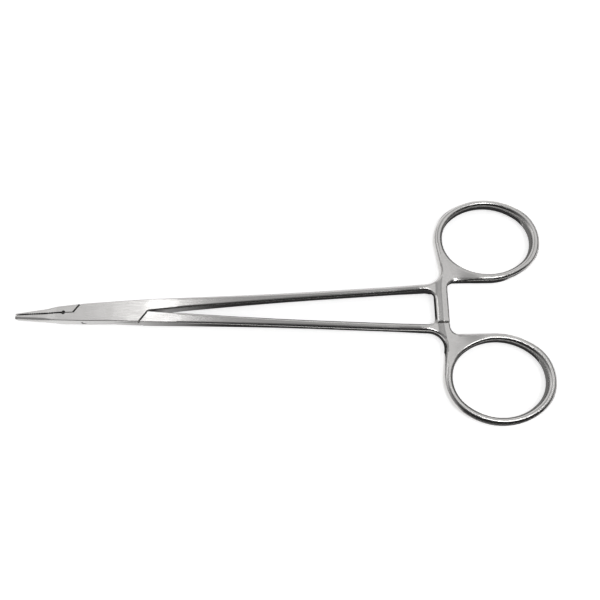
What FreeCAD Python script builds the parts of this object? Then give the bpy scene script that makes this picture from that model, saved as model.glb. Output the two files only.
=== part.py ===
import FreeCAD, Part
import math
import os

# Straight needle holder with a box lock, ring handles and a ratchet, 160 mm long, in millimetres.
# The origin is on the pivot axis in the plane that the closed instrument rests on.
# +X runs from the pivot to the finger rings and +Z is up. The jaws point to -X.
# Both halves are forgings. The female half has the box, the lower jaw and the ring on the +Y side.
# The male half has the tang that passes through the box, the other jaw and the ring on the -Y side.

# Jaws
jaw_length = 29.3
upper_jaw_tip_width = 0.62
lower_jaw_tip_width = 1.35
upper_jaw_taper = 1.4
lower_jaw_taper = 1.75
jaw_tip_thickness = 2.2
jaw_edge_radius = 0.95
jaw_nose_radius = 1.1
jaw_side_nose_radius = 1.5
jaw_shoulder_distance = 20.5
jaw_shoulder_thickness = 3.1
jaw_root_distance = 14.8
jaw_notch_distance = 10.9
jaw_lean = 0.85
jaw_gap = 0.10
relief_hole_distance = 14.0
relief_hole_diameter = 1.2
serration_pitch = 0.70
serration_depth = 0.24
serration_crest = 0.02

# Box lock
box_width = 6.0
box_thickness = 4.6
box_edge_radius = 0.30
crotch_distance = 11.1
slit_angle = 53.0
slit_gap = 0.30
slot_height = 1.70
tang_play = 0.03
tang_end_gap = 0.15
pin_diameter = 2.6
pin_play = 0.03

# Shanks
crotch_gap = 0.15
arm_distance = 98.65
shank_end_to_arm = 6.65
shank_root_width = 3.55
shank_waist_width = 2.35
shank_end_width = 2.20
shank_waist_thickness = 2.90
shank_waist_distance = 60.0
shank_end_distance = arm_distance - shank_end_to_arm
shank_end_spread = 6.10

# Finger rings
arm_to_ring_centre = 14.95
ring_distance = arm_distance + arm_to_ring_centre
ring_spread = 21.4
ring_thickness = 4.0
ring_opening_length = 26.8
ring_opening_width = 22.0
ring_side_band = 2.7
ring_end_band = 2.3
ring_edge_radius = 1.0
ring_outer_end_radius = 12.0
ring_opening_end_radius = 9.6
ring_tangent_angle = 8.0
outer_blend_radius = 4.5
inner_blend_radius = 2.6
arm_blend_radius = 2.4

# Ratchet
arm_width = 3.7
arm_reach = 4.75
arm_ridge_drop = 0.40
arm_ridge_end = 7.0
arm_end_gap = 0.25
arm_play = 0.10
tooth_count = 4
tooth_pitch = 1.4
tooth_depth = 0.60

mid_height = box_thickness / 2
lean = math.radians(jaw_lean)
slit_direction = FreeCAD.Vector(math.cos(math.radians(slit_angle)), math.sin(math.radians(slit_angle)), 0)
beyond = 12.0


def smooth_step(share):
    """Ease in and out between 0 and 1."""
    return share * share * (3 - 2 * share)


def between(start, end, share):
    return start + (end - start) * share


def rounded_section(x, y_middle, width, thickness, radius):
    """Rectangle with rounded corners, standing across the X axis at mid height."""
    edges = []
    previous = None
    first = None
    for quarter in range(4):
        side_y = 1 if quarter in (0, 3) else -1
        side_z = 1 if quarter in (0, 1) else -1
        centre_y = y_middle + side_y * (width / 2 - radius)
        centre_z = mid_height + side_z * (thickness / 2 - radius)
        points = []
        for step in range(3):
            angle = math.radians(90 * quarter + 45 * step)
            y = centre_y + radius * math.cos(angle)
            z = centre_z + radius * math.sin(angle)
            points.append(FreeCAD.Vector(x, y, z))
        if previous is not None:
            edges.append(Part.makeLine(previous, points[0]))
        else:
            first = points[0]
        edges.append(Part.Arc(*points).toShape())
        previous = points[2]
    edges.append(Part.makeLine(previous, first))
    return Part.Wire(edges)


def plan_prism(points, low, high):
    """Upright prism over a polygon of plan points."""
    corners = [FreeCAD.Vector(point.x, point.y, low) for point in points]
    face = Part.Face(Part.makePolygon(corners + corners[:1]))
    return face.extrude(FreeCAD.Vector(0, 0, high - low))


def on_jaw_axis(distance, offset):
    """Plan point at a distance from the pivot along the jaws, offset toward +Y."""
    x = -distance * math.cos(lean) - offset * math.sin(lean)
    y = -distance * math.sin(lean) + offset * math.cos(lean)
    return FreeCAD.Vector(x, y, 0)


# The corners where the parting line meets the slits. The male half stands back by the slit's gap.
corner_shift = slit_gap / math.sin(math.radians(slit_angle))
female_notch = on_jaw_axis(jaw_notch_distance, -jaw_gap / 2)
male_notch = on_jaw_axis(jaw_notch_distance + corner_shift, jaw_gap / 2)
female_crotch = FreeCAD.Vector(crotch_distance, crotch_gap / 2, 0)
male_crotch = FreeCAD.Vector(crotch_distance + corner_shift, -crotch_gap / 2, 0)
shank_root = crotch_distance + corner_shift


def head_blank():
    """The outer form of jaws and box together, before it is parted into two halves."""
    sections = []
    jaw_steps = 6
    for step in range(jaw_steps + 1):
        distance = between(jaw_length, jaw_shoulder_distance, step / jaw_steps)
        thickness = between(jaw_tip_thickness, jaw_shoulder_thickness, step / jaw_steps)
        sections.append(jaw_section(distance, thickness, jaw_edge_radius))
    root_steps = 4
    for step in range(1, root_steps + 1):
        share = smooth_step(step / root_steps)
        distance = between(jaw_shoulder_distance, jaw_root_distance, step / root_steps)
        thickness = between(jaw_shoulder_thickness, box_thickness, share)
        radius = between(jaw_edge_radius, box_edge_radius, share)
        sections.append(jaw_section(distance, thickness, radius))
    sections.append(jaw_section(jaw_root_distance / 2, box_thickness, box_edge_radius))
    sections.append(jaw_section(0, box_thickness, box_edge_radius))
    end_width = crotch_gap + 2 * shank_root_width
    sections.append(rounded_section(shank_root, 0, end_width, box_thickness, box_edge_radius))
    blank = Part.makeLoft(sections, True, True)
    return blank.common(nose_limit())


def jaw_section(distance, thickness, radius):
    """Section across both jaws, narrowing faster toward the tip."""
    share = distance / jaw_length
    upper = between(box_width / 2, upper_jaw_tip_width, share ** upper_jaw_taper)
    lower = between(box_width / 2, lower_jaw_tip_width, share ** lower_jaw_taper)
    y_middle = (upper - lower) / 2 - distance * math.tan(lean)
    return rounded_section(-distance, y_middle, upper + lower, thickness, radius)


def nose_limit():
    """Space inside the rounded tip, seen from above and from the side."""
    tip = on_jaw_axis(jaw_length, (upper_jaw_tip_width - lower_jaw_tip_width) / 2)
    reach = jaw_length + shank_root + beyond
    plan = Part.makeCylinder(jaw_nose_radius, 2 * beyond, FreeCAD.Vector(jaw_nose_radius, 0, -beyond))
    plan_rest = Part.makeBox(reach, 2 * beyond, 2 * beyond, FreeCAD.Vector(jaw_nose_radius, -beyond, -beyond))
    side_start = FreeCAD.Vector(jaw_side_nose_radius, -beyond, mid_height)
    side = Part.makeCylinder(jaw_side_nose_radius, 2 * beyond, side_start, FreeCAD.Vector(0, 1, 0))
    side_corner = FreeCAD.Vector(jaw_side_nose_radius, -beyond, -beyond)
    side_rest = Part.makeBox(reach, 2 * beyond, 2 * beyond, side_corner)
    limit = plan.fuse(plan_rest).common(side.fuse(side_rest))
    limit.translate(tip)
    return limit


def female_plan():
    """Plan of the female half's jaw and box at full thickness."""
    return [
        on_jaw_axis(jaw_length + beyond, -jaw_gap / 2),
        female_notch,
        female_notch + slit_direction * beyond,
        FreeCAD.Vector(shank_root + beyond, beyond, 0),
        FreeCAD.Vector(shank_root + beyond, crotch_gap / 2, 0),
        female_crotch,
        female_crotch - slit_direction * beyond,
        on_jaw_axis(jaw_length + beyond, -beyond),
    ]


def male_plans():
    """Plans of the male half's jaw and of its shank root at full thickness."""
    jaw = [
        on_jaw_axis(jaw_length + beyond, jaw_gap / 2),
        male_notch,
        male_notch + slit_direction * beyond,
        on_jaw_axis(jaw_length + beyond, beyond),
    ]
    root = [
        male_crotch,
        male_crotch - slit_direction * beyond,
        FreeCAD.Vector(shank_root + beyond, -beyond, 0),
        FreeCAD.Vector(shank_root + beyond, -crotch_gap / 2, 0),
    ]
    return [jaw, root]


def lock_plan(gap):
    """Plan of the slot through the box, or of the tang in it when the gap is taken off its ends."""
    wall = FreeCAD.Vector(slit_direction.x, -slit_direction.y, 0)
    inward = FreeCAD.Vector(slit_direction.y, slit_direction.x, 0) * gap
    return [
        female_notch + inward,
        female_notch + inward + wall * beyond,
        FreeCAD.Vector(shank_root + beyond, -beyond, 0),
        female_crotch - inward,
        female_crotch - inward - wall * beyond,
        FreeCAD.Vector(-shank_root - beyond, beyond, 0),
    ]


def shank_middle(x):
    """Distance of a shank's centre line from the X axis."""
    root_spread = (crotch_gap + shank_root_width) / 2
    share = (x - shank_root) / (shank_end_distance - shank_root)
    return between(root_spread, shank_end_spread, share)


def shank_slope():
    return math.atan(shank_middle(shank_end_distance) - shank_middle(shank_end_distance - 1))


def shank_section(x, width, thickness, radius):
    """Section square to the +Y shank's centre line."""
    section = rounded_section(x, shank_middle(x), width, thickness, radius)
    centre = FreeCAD.Vector(x, shank_middle(x), 0)
    section.rotate(centre, FreeCAD.Vector(0, 0, 1), math.degrees(shank_slope()))
    return section


def shank():
    """The +Y shank, square at the box, slender and rounded further out."""
    root_middle = shank_middle(shank_root)
    root = rounded_section(shank_root, root_middle, shank_root_width, box_thickness, box_edge_radius)
    sections = [root]
    steps = 5
    for step in range(1, steps + 1):
        share = step / steps
        x = between(shank_root, shank_waist_distance, share)
        width = between(shank_root_width, shank_waist_width, 1 - (1 - share) ** 2)
        thickness = between(box_thickness, shank_waist_thickness, smooth_step(share))
        radius = between(box_edge_radius, ring_edge_radius, share)
        sections.append(shank_section(x, width, thickness, radius))
    for step in range(1, steps + 1):
        share = step / steps
        x = between(shank_waist_distance, shank_end_distance, share)
        width = between(shank_waist_width, shank_end_width, share ** 2)
        thickness = between(shank_waist_thickness, ring_thickness, share ** 8)
        sections.append(shank_section(x, width, thickness, ring_edge_radius))
    return Part.makeLoft(sections, True, True)


def corner_arc(before, corner, after, radius):
    """Arc that rounds a plan corner, with the points where it starts and ends."""
    to_before = (before - corner).normalize()
    to_after = (after - corner).normalize()
    half_angle = to_before.getAngle(to_after) / 2
    start = corner + to_before * (radius / math.tan(half_angle))
    end = corner + to_after * (radius / math.tan(half_angle))
    bisector = (to_before + to_after).normalize()
    middle = corner + bisector * (radius / math.sin(half_angle) - radius)
    return Part.Arc(start, middle, end).toShape(), start, end


def oval_arcs(centre, half_length, half_width, end_radius, start_angle):
    """Four-centre oval: right end, top, and left end as far as an angle, then the rest as a list."""
    side_radius = half_length ** 2 + half_width ** 2 - 2 * half_length * end_radius
    side_radius = side_radius / (2 * (half_width - end_radius))
    offset_x = half_length - end_radius
    offset_y = side_radius - half_width
    joint = math.atan2(offset_y, offset_x)
    right = centre + FreeCAD.Vector(offset_x, 0, 0)
    left = centre - FreeCAD.Vector(offset_x, 0, 0)
    top = centre - FreeCAD.Vector(0, offset_y, 0)
    bottom = centre + FreeCAD.Vector(0, offset_y, 0)
    pieces = [
        plan_arc(bottom, side_radius, -math.pi / 2, -joint),
        plan_arc(right, end_radius, -joint, joint),
        plan_arc(top, side_radius, joint, math.pi - joint),
        plan_arc(left, end_radius, math.pi - joint, start_angle),
    ]
    rest = [
        plan_arc(left, end_radius, start_angle, math.pi + joint),
        plan_arc(bottom, side_radius, math.pi + joint, 1.5 * math.pi),
    ]
    return pieces, rest


def plan_arc(centre, radius, start, end):
    points = []
    for angle in (start, (start + end) / 2, end):
        points.append(centre + FreeCAD.Vector(math.cos(angle), math.sin(angle), 0) * radius)
    return Part.Arc(*points).toShape()


def handle():
    """The +Y finger ring with its web, the end of the shank and the ratchet arm, as one forging."""
    centre = FreeCAD.Vector(ring_distance, ring_spread, 0)
    outer_length = ring_opening_length / 2 + ring_side_band
    outer_width = ring_opening_width / 2 + ring_end_band
    slope = math.tan(shank_slope())
    shank_end = FreeCAD.Vector(shank_end_distance, shank_middle(shank_end_distance), 0)
    half_end = FreeCAD.Vector(-math.sin(shank_slope()), math.cos(shank_slope()), 0) * (shank_end_width / 2)
    outer_start = shank_end + half_end
    inner_start = shank_end - half_end

    # The web's outer edge leaves the ring as a tangent and meets the shank's outer edge.
    tangent = math.radians(180 + ring_tangent_angle)
    ring_arcs, _ = oval_arcs(centre, outer_length, outer_width, ring_outer_end_radius, tangent)
    touch = ring_arcs[-1].Vertexes[-1].Point
    along = FreeCAD.Vector(-math.sin(tangent), math.cos(tangent), 0)
    share = (outer_start.y + slope * (touch.x - outer_start.x) - touch.y) / (along.y - slope * along.x)
    outer_corner = touch + along * share

    bottom = centre + FreeCAD.Vector(0, -outer_width, 0)
    arm_right = arm_distance + arm_width / 2
    arm_left = arm_distance - arm_width / 2
    right_corner = FreeCAD.Vector(arm_right, bottom.y, 0)
    end_right = FreeCAD.Vector(arm_right, -arm_reach, 0)
    end_left = FreeCAD.Vector(arm_left, -arm_reach, 0)
    left_corner = FreeCAD.Vector(arm_left, inner_start.y + slope * (arm_left - inner_start.x), 0)

    outer_arc, outer_in, outer_out = corner_arc(outer_start, outer_corner, touch, outer_blend_radius)
    right_arc, right_in, right_out = corner_arc(bottom, right_corner, end_right, arm_blend_radius)
    left_arc, left_in, left_out = corner_arc(end_left, left_corner, inner_start, inner_blend_radius)
    outline = Part.Wire(Part.__sortEdges__(ring_arcs + [
        Part.makeLine(outer_start, outer_in),
        outer_arc,
        Part.makeLine(outer_out, touch),
        Part.makeLine(bottom, right_in),
        right_arc,
        Part.makeLine(right_out, end_right),
        Part.makeLine(end_right, end_left),
        Part.makeLine(end_left, left_in),
        left_arc,
        Part.makeLine(left_out, inner_start),
        Part.makeLine(inner_start, outer_start),
    ]))
    half_length = ring_opening_length / 2
    half_width = ring_opening_width / 2
    arcs, rest = oval_arcs(centre, half_length, half_width, ring_opening_end_radius, math.pi)
    opening = Part.Wire(arcs + rest)
    face = Part.Face(outline).cut(Part.Face(opening))
    body = face.extrude(FreeCAD.Vector(0, 0, ring_thickness))
    body.translate(FreeCAD.Vector(0, 0, mid_height - ring_thickness / 2))
    return body.makeFillet(ring_edge_radius, long_edges(body))


def long_edges(body):
    """The upper and lower edges of the handle, without those of its two cut ends."""
    chosen = []
    for edge in body.Edges:
        box = edge.BoundBox
        at_shank_end = box.XMax < shank_end_distance + shank_end_width / 2
        at_arm_end = box.YMax < -arm_reach + 0.001
        upright = box.ZLength > 0.001
        if not (at_shank_end or at_arm_end or upright):
            chosen.append(edge)
    return chosen


def arm_clearance():
    """Space under the +Y half's ratchet arm for the other half's arm, with the arm's teeth cut into it."""
    low_x = arm_distance - arm_width / 2 - inner_blend_radius - 1
    length = arm_width + inner_blend_radius + arm_blend_radius + 2
    shoulder = arm_reach + arm_end_gap
    crest = mid_height + arm_play / 2
    corner = FreeCAD.Vector(low_x, -arm_reach - 1, -1)
    space = Part.makeBox(length, arm_reach + 1 + shoulder, crest + 1, corner)
    first = -tooth_count * tooth_pitch / 2
    for tooth in range(tooth_count):
        steep = first + tooth * tooth_pitch
        points = [
            FreeCAD.Vector(low_x, steep, crest),
            FreeCAD.Vector(low_x, steep, crest + tooth_depth),
            FreeCAD.Vector(low_x, steep + tooth_pitch, crest),
        ]
        profile = Part.Face(Part.makePolygon(points + points[:1]))
        space = space.fuse(profile.extrude(FreeCAD.Vector(length, 0, 0)))
    return space


def above_arm():
    """Space over the arm's lengthwise ridge, which flattens out toward the ring."""
    start = -arm_reach - 1
    top = mid_height + ring_thickness / 2
    points = [
        FreeCAD.Vector(arm_distance - arm_width, start, top - 2 * arm_ridge_drop),
        FreeCAD.Vector(arm_distance, start, top),
        FreeCAD.Vector(arm_distance + arm_width, start, top - 2 * arm_ridge_drop),
        FreeCAD.Vector(arm_distance + arm_width, start, top + 1),
        FreeCAD.Vector(arm_distance - arm_width, start, top + 1),
    ]
    face = Part.Face(Part.makePolygon(points + points[:1]))
    return face.extrude(FreeCAD.Vector(0, arm_ridge_end - start, arm_ridge_drop))


def outer_half():
    """Shank and handle of the +Y side."""
    return shank().fuse(handle()).cut(arm_clearance()).cut(above_arm())


def pin_hole(play):
    return Part.makeCylinder(pin_diameter / 2 + play, box_thickness + 2, FreeCAD.Vector(0, 0, -1))


def relief_hole():
    """Round hole through both jaws where the serrations end."""
    centre = on_jaw_axis(relief_hole_distance, 0)
    start = FreeCAD.Vector(centre.x, centre.y, -1)
    return Part.makeCylinder(relief_hole_diameter / 2, box_thickness + 2, start)


def serrations(side):
    """Two tools that cut crossing V grooves into one gripping face; side is +1 for the +Y jaw."""
    start = relief_hole_distance
    end = jaw_length + jaw_nose_radius
    reach = end - start + box_thickness
    groove_pitch = serration_pitch * math.sin(math.radians(45))
    count = math.ceil(reach / groove_pitch)
    crest = jaw_gap / 2 + serration_crest
    root = crest + serration_depth
    points = [FreeCAD.Vector(0, -1, 0), FreeCAD.Vector(0, crest, 0)]
    for groove in range(count):
        points.append(FreeCAD.Vector(0, root, (groove + 0.5) * groove_pitch))
        points.append(FreeCAD.Vector(0, crest, (groove + 1) * groove_pitch))
    points.append(FreeCAD.Vector(0, -1, count * groove_pitch))
    profile = Part.Face(Part.makePolygon(points + points[:1]))
    middle = FreeCAD.Vector(-(start + end) / 2, 0, mid_height)
    corner = FreeCAD.Vector(-end, -2, -box_thickness / 2)
    limit = Part.makeBox(end - start, 4, 2 * box_thickness, corner)
    tools = []
    for tilt in (45, -45):
        tool = profile.extrude(FreeCAD.Vector(reach, 0, 0))
        tool.translate(FreeCAD.Vector(-reach / 2, 0, -count * groove_pitch / 2))
        tool.rotate(FreeCAD.Vector(0, 0, 0), FreeCAD.Vector(0, 1, 0), tilt)
        tool.translate(middle)
        tool = tool.common(limit)
        if side < 0:
            tool.rotate(FreeCAD.Vector(0, 0, mid_height), FreeCAD.Vector(1, 0, 0), 180)
        tool.rotate(FreeCAD.Vector(0, 0, 0), FreeCAD.Vector(0, 0, 1), jaw_lean)
        tools.append(tool)
    return tools


def female_half(blank):
    head = blank.common(plan_prism(female_plan(), -1, box_thickness + 1))
    low = mid_height - slot_height / 2
    head = head.cut(plan_prism(lock_plan(0), low, low + slot_height))
    head = head.cut(pin_hole(0)).cut(relief_hole()).cut(serrations(-1))
    return head.fuse(outer_half()).removeSplitter()


def male_half(blank):
    jaw_plan, root_plan = male_plans()
    jaw = blank.common(plan_prism(jaw_plan, -1, box_thickness + 1))
    jaw = jaw.cut(relief_hole()).cut(serrations(1))
    root = blank.common(plan_prism(root_plan, -1, box_thickness + 1))
    low = mid_height - slot_height / 2 + tang_play
    high = mid_height + slot_height / 2 - tang_play
    tang = blank.common(plan_prism(lock_plan(tang_end_gap), low, high))
    outer = outer_half()
    outer.rotate(FreeCAD.Vector(0, 0, mid_height), FreeCAD.Vector(1, 0, 0), 180)
    return tang.fuse([jaw, root, outer]).cut(pin_hole(pin_play)).removeSplitter()


def pivot_pin():
    return Part.makeCylinder(pin_diameter / 2, box_thickness)


def main():
    os.makedirs("parts", exist_ok=True)
    blank = head_blank()
    pieces = {
        "female_half": female_half(blank),
        "male_half": male_half(blank),
        "pivot_pin": pivot_pin(),
    }
    for name, shape in pieces.items():
        shape.exportStep("parts/" + name + ".step")


main()
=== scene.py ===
import math

import bmesh
import bpy
import numpy as np
from mathutils import Matrix, Vector, geometry
from mathutils.bvhtree import BVHTree


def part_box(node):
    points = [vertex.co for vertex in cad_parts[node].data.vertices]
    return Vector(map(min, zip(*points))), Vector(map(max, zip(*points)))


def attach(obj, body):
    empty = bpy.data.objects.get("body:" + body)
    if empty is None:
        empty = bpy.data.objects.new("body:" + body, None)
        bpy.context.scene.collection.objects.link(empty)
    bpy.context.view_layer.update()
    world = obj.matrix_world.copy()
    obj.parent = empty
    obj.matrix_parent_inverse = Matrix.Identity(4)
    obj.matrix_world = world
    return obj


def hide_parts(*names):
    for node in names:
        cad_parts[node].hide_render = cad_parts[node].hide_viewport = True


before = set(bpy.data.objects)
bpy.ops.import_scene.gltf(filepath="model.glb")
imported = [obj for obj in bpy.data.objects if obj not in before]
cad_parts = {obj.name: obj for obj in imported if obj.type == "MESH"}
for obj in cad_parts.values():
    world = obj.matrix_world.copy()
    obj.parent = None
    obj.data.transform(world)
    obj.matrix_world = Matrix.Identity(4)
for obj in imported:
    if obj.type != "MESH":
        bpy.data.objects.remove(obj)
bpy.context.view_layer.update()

bl_info = {
    "name": "Surgical Needle Holder",
    "version": (1, 0, 0),
    "blender": (4, 5, 0),
    "location": "View3D > Sidebar > Needle Holder",
    "description": "Dresses the halves and the pin of a box-lock needle holder in brushed steel",
    "category": "Object",
}

MM = 0.001
HALVES = ("female_half", "male_half")
MID_HEIGHT = sum(corner.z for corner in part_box("female_half")) / 2


class ForgingShape(bpy.types.PropertyGroup):
    """Plan and section of the shank, the finger ring and the ratchet arm, the same on both halves."""

    head_end: bpy.props.FloatProperty(
        name="Head end",
        description="Distance from the pivot where the box ends and the shaped shank begins",
        unit="LENGTH",
        default=20.0 * MM,
    )
    hole_start: bpy.props.FloatProperty(
        name="Hole start",
        description="Place along the jaws, from the pivot, where the relief hole and the serrations begin",
        unit="LENGTH",
        default=-13.2 * MM,
    )
    shank_root: bpy.props.FloatProperty(
        name="Shank root",
        description="Distance from the pivot where the two shanks part",
        unit="LENGTH",
        default=11.476 * MM,
    )
    shank_waist: bpy.props.FloatProperty(
        name="Shank waist",
        description="Distance from the pivot where the shank is thinnest",
        unit="LENGTH",
        default=60.0 * MM,
    )
    shank_end: bpy.props.FloatProperty(
        name="Shank end",
        description="Distance from the pivot where the shank reaches the handle",
        unit="LENGTH",
        default=92.0 * MM,
    )
    root_spread: bpy.props.FloatProperty(
        name="Root spread",
        description="Distance of the shank's centre line from the middle at its root",
        unit="LENGTH",
        default=1.85 * MM,
    )
    end_spread: bpy.props.FloatProperty(
        name="End spread",
        description="Distance of the shank's centre line from the middle at its end",
        unit="LENGTH",
        default=6.10 * MM,
    )
    root_width: bpy.props.FloatProperty(
        name="Root width", description="Width of the shank at its root", unit="LENGTH", default=3.55 * MM
    )
    waist_width: bpy.props.FloatProperty(
        name="Waist width", description="Width of the shank at its waist", unit="LENGTH", default=2.35 * MM
    )
    end_width: bpy.props.FloatProperty(
        name="End width", description="Width of the shank at its end", unit="LENGTH", default=2.20 * MM
    )
    root_thickness: bpy.props.FloatProperty(
        name="Root thickness",
        description="Thickness of the box and shank root",
        unit="LENGTH",
        default=4.6 * MM,
    )
    waist_thickness: bpy.props.FloatProperty(
        name="Waist thickness",
        description="Thickness of the shank at its waist",
        unit="LENGTH",
        default=2.9 * MM,
    )
    ring_thickness: bpy.props.FloatProperty(
        name="Ring thickness", description="Thickness of ring and arm", unit="LENGTH", default=4.0 * MM
    )
    ring_centre: bpy.props.FloatVectorProperty(
        name="Ring centre",
        description="Centre of the ring's opening in plan",
        subtype="XYZ",
        unit="LENGTH",
        size=2,
        default=(113.6 * MM, 21.4 * MM),
    )
    opening_length: bpy.props.FloatProperty(
        name="Opening length", description="Length of the ring's opening", unit="LENGTH", default=26.8 * MM
    )
    opening_width: bpy.props.FloatProperty(
        name="Opening width", description="Width of the ring's opening", unit="LENGTH", default=22.0 * MM
    )
    side_band: bpy.props.FloatProperty(
        name="Side band", description="Width of the ring at its ends", unit="LENGTH", default=2.68 * MM
    )
    end_band: bpy.props.FloatProperty(
        name="End band", description="Width of the ring at its sides", unit="LENGTH", default=2.28 * MM
    )
    arm_centre: bpy.props.FloatProperty(
        name="Arm centre", description="Distance from the pivot to the arm", unit="LENGTH", default=98.65 * MM
    )
    arm_width: bpy.props.FloatProperty(
        name="Arm width", description="Width of the ratchet arm", unit="LENGTH", default=3.7 * MM
    )
    arm_reach: bpy.props.FloatProperty(
        name="Arm reach",
        description="How far the arm reaches past the middle",
        unit="LENGTH",
        default=4.75 * MM,
    )
    ridge_slope: bpy.props.FloatProperty(
        name="Ridge slope",
        description="Fall of the two facets beside the ridge that runs along arm and ring",
        min=0.0,
        max=1.0,
        default=0.20,
    )
    tooth_count: bpy.props.IntProperty(
        name="Teeth", description="Number of ratchet teeth on each arm", min=1, default=4
    )
    tooth_pitch: bpy.props.FloatProperty(
        name="Tooth pitch", description="Distance between ratchet teeth", unit="LENGTH", default=1.4 * MM
    )
    tooth_depth: bpy.props.FloatProperty(
        name="Tooth depth", description="Depth of a ratchet tooth", unit="LENGTH", default=0.60 * MM
    )


class SteelFinish(bpy.types.PropertyGroup):
    """Colour and surface of the brushed stainless steel."""

    light_steel: bpy.props.FloatVectorProperty(
        name="Light steel",
        description="Colour of the steel where the brushing is fresh",
        subtype="COLOR",
        size=3,
        min=0.0,
        max=1.0,
        default=(0.62, 0.61, 0.60),
    )
    dark_steel: bpy.props.FloatVectorProperty(
        name="Dark steel",
        description="Colour of the steel between the brush strokes",
        subtype="COLOR",
        size=3,
        min=0.0,
        max=1.0,
        default=(0.52, 0.512, 0.505),
    )
    roughness: bpy.props.FloatProperty(
        name="Roughness",
        description="Mean roughness of the satin finish",
        min=0.0,
        max=1.0,
        default=0.21,
    )
    grain_width: bpy.props.FloatProperty(
        name="Grain width",
        description="Width of one brush stroke",
        subtype="DISTANCE",
        unit="LENGTH",
        default=0.16 * MM,
    )
    grain_length: bpy.props.FloatProperty(
        name="Grain length",
        description="Length of one brush stroke",
        subtype="DISTANCE",
        unit="LENGTH",
        default=3.5 * MM,
    )
    wear_reach: bpy.props.FloatProperty(
        name="Wear reach",
        description="How far the lighter, handled edges reach inward",
        subtype="DISTANCE",
        unit="LENGTH",
        default=0.35 * MM,
    )
    # Painted shade: how bright the steel stays where nearby metal blocks the outlook, in slits, holes and
    # grooves.
    painted_shade_tone: bpy.props.FloatProperty(
        name="Recess tone",
        description="Brightness left in slits, holes and grooves, where the finish stays dark",
        subtype="FACTOR",
        min=0.0,
        max=1.0,
        default=0.06,
    )
    worn_gap: bpy.props.FloatProperty(
        name="Worn gap",
        description="How far the slit walls and gripping faces are set back by lapping and wear",
        subtype="DISTANCE",
        unit="LENGTH",
        default=0.09 * MM,
    )
    grain_depth: bpy.props.FloatProperty(
        name="Grain depth",
        description="Depth of the brush strokes",
        subtype="DISTANCE",
        unit="LENGTH",
        default=0.0015 * MM,
    )


class StudioLight(bpy.types.PropertyGroup):
    """Light, floor and camera of the photograph."""

    camera_target: bpy.props.FloatVectorProperty(
        name="Camera target",
        description="Point that the camera looks at",
        subtype="XYZ",
        unit="LENGTH",
        size=3,
        default=(0.05654, 0.00330, 0.0023),
    )
    camera_distance: bpy.props.FloatProperty(
        name="Camera distance",
        description="Distance from the camera to its target",
        subtype="DISTANCE",
        unit="LENGTH",
        default=0.1945,
    )
    camera_tilt: bpy.props.FloatProperty(
        name="Camera tilt",
        description="Angle between the line of sight and the vertical",
        subtype="ANGLE",
        unit="ROTATION",
        default=math.radians(17.5),
    )
    camera_azimuth: bpy.props.FloatProperty(
        name="Camera azimuth",
        description="Side that the camera stands on, as a turn about the vertical",
        subtype="ANGLE",
        unit="ROTATION",
        default=math.radians(4.2),
    )
    camera_roll: bpy.props.FloatProperty(
        name="Camera roll",
        description="Turn of the camera about its line of sight",
        subtype="ANGLE",
        unit="ROTATION",
        default=math.radians(-4.83),
    )
    camera_lens: bpy.props.FloatProperty(
        name="Camera lens",
        description="Focal length on a 36 mm wide sensor, in millimetres",
        default=38.83,
    )
    key_power: bpy.props.FloatProperty(
        name="Key light",
        description="Power of the small soft light past the jaws, on the far side",
        subtype="POWER",
        unit="POWER",
        default=0.045,
    )
    fill_power: bpy.props.FloatProperty(
        name="Fill light",
        description="Power of the wider soft light past the rings, on the near side",
        subtype="POWER",
        unit="POWER",
        default=0.26,
    )
    floor_colour: bpy.props.FloatVectorProperty(
        name="Floor colour",
        description="Colour of the plain floor",
        subtype="COLOR",
        size=3,
        min=0.0,
        max=1.0,
        default=(0.90, 0.90, 0.90),
    )
    backdrop_strength: bpy.props.FloatProperty(
        name="Backdrop strength",
        description="Brightness of the backdrop, where 1 is white",
        min=0.0,
        max=2.0,
        default=1.0,
    )


class Wiring:
    """Short calls for adding and joining the nodes of one tree."""

    def __init__(self, tree):
        self.tree = tree

    def add(self, kind, inputs=None, **settings):
        """A new node with its settings, and with its inputs as values or as sockets to join."""
        node = self.tree.nodes.new(kind)
        row, column = divmod(len(self.tree.nodes), 12)
        node.location = (190 * column, -210 * row)
        for name, value in settings.items():
            setattr(node, name, value)
        for name, value in (inputs or {}).items():
            self.give(node.inputs[name], value)
        return node

    def give(self, socket, value):
        """Joins an input to another node's output, or sets its value."""
        if isinstance(value, bpy.types.NodeSocket):
            self.tree.links.new(value, socket)
        else:
            socket.default_value = value

    def maths(self, operation, first, second=0.0, third=0.0):
        """The result of one calculation."""
        node = self.add("ShaderNodeMath", operation=operation)
        for socket, value in zip(node.inputs, (first, second, third)):
            self.give(socket, value)
        return node.outputs[0]

    def vector(self, x=0.0, y=0.0, z=0.0):
        """Three numbers as one vector."""
        return self.add("ShaderNodeCombineXYZ", {"X": x, "Y": y, "Z": z}).outputs["Vector"]

    def attribute(self, name):
        """A number stored on the points of the plan."""
        node = self.add("GeometryNodeInputNamedAttribute", {"Name": name}, data_type="FLOAT")
        return node.outputs["Attribute"]


def empty_wiring(owner):
    """The wiring of a material or a world, with no nodes in it yet."""
    owner.use_nodes = True
    owner.node_tree.nodes.clear()
    return Wiring(owner.node_tree)


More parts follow.
